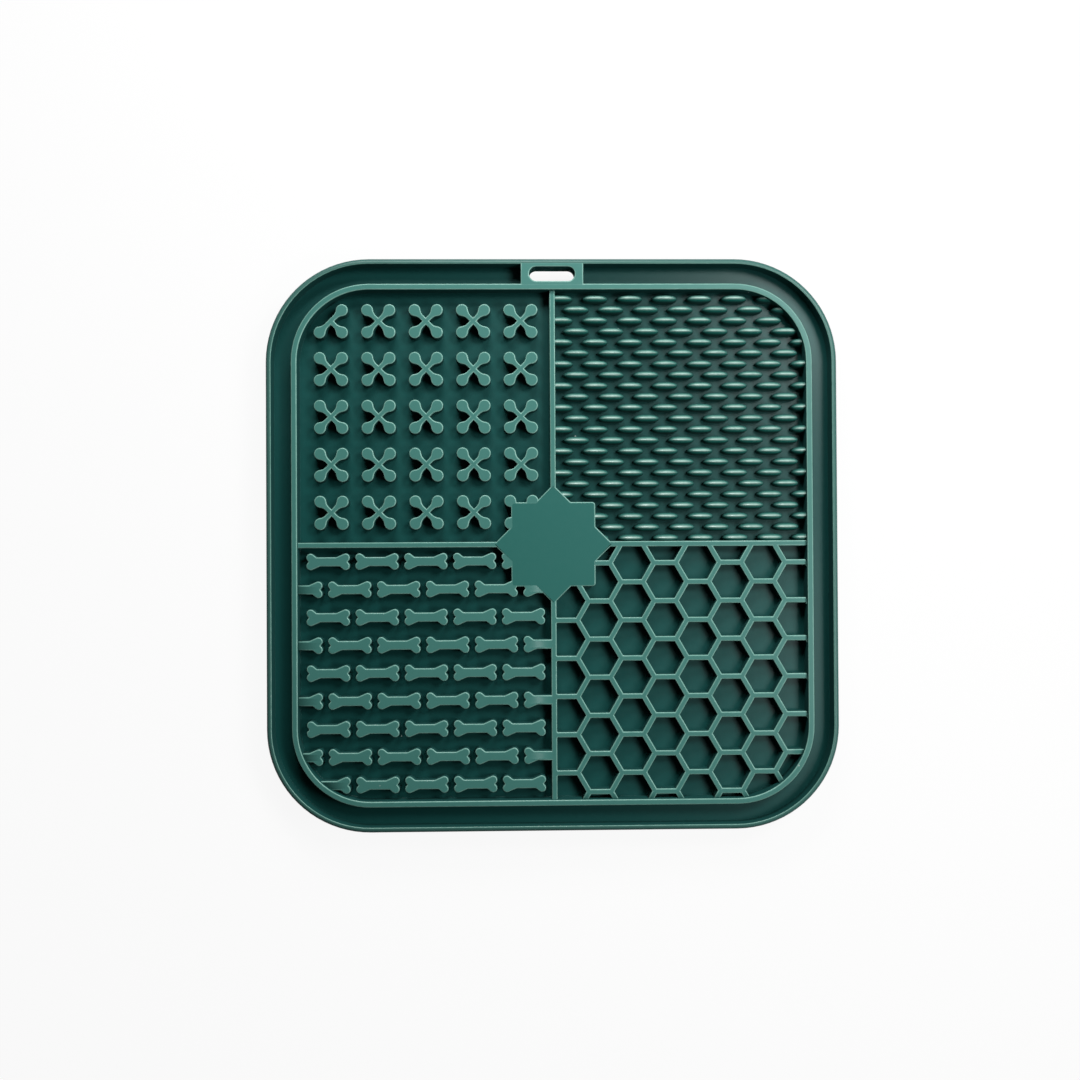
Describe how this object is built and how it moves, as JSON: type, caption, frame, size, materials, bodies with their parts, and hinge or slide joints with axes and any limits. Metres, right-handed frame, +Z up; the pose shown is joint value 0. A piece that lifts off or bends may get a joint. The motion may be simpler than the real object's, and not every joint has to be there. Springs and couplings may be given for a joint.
{
  "type": "lick mat",
  "caption": "Square silicone lick mat with studded, grained and honeycomb quarters, a plain star plaque, a rimmed gutter and a hanging slot.",
  "frame": {"origin": "middle of the mat, on the floor that its suction cups stand on", "axes": "+Z up out of the licking side, +Y towards the hanging slot, +X to the right when the slot is at the top"},
  "size_m": [0.2, 0.2, 0.011],
  "materials": {
    "silicone": "satin moulded silicone, dark green"
  },
  "bodies": {
    "root": {"base_sheet": "silicone", "outer_rim": "silicone", "inner_rim": "silicone", "hanging_tab": "silicone", "top_divider": "silicone", "bottom_divider": "silicone", "left_divider": "silicone", "right_divider": "silicone", "centre_plaque": "silicone", "crossed_bones_row_1": "silicone", "crossed_bones_row_2": "silicone", "crossed_bones_row_3": "silicone", "crossed_bones_row_4": "silicone", "crossed_bones_row_5": "silicone", "bones_row_1": "silicone", "bones_row_2": "silicone", "bones_row_3": "silicone", "bones_row_4": "silicone", "bones_row_5": "silicone", "bones_row_6": "silicone", "bones_row_7": "silicone", "bones_row_8": "silicone", "bones_row_9": "silicone", "grain_row_1": "silicone", "grain_row_2": "silicone", "grain_row_3": "silicone", "grain_row_4": "silicone", "grain_row_5": "silicone", "grain_row_6": "silicone", "grain_row_7": "silicone", "grain_row_8": "silicone", "grain_row_9": "silicone", "grain_row_10": "silicone", "grain_row_11": "silicone", "grain_row_12": "silicone", "grain_row_13": "silicone", "grain_row_14": "silicone", "grain_row_15": "silicone", "grain_row_16": "silicone", "grain_row_17": "silicone", "grain_row_18": "silicone", "grain_row_19": "silicone", "grain_row_20": "silicone", "grain_row_21": "silicone", "grain_row_22": "silicone", "grain_row_23": "silicone", "honeycomb_level_ribs": "silicone", "honeycomb_rising_ribs": "silicone", "honeycomb_falling_ribs": "silicone", "suction_cups_row_1": "silicone", "suction_cups_row_2": "silicone", "suction_cups_row_3": "silicone", "suction_cups_row_4": "silicone", "suction_cups_row_5": "silicone"}
  },
  "joints": []
}
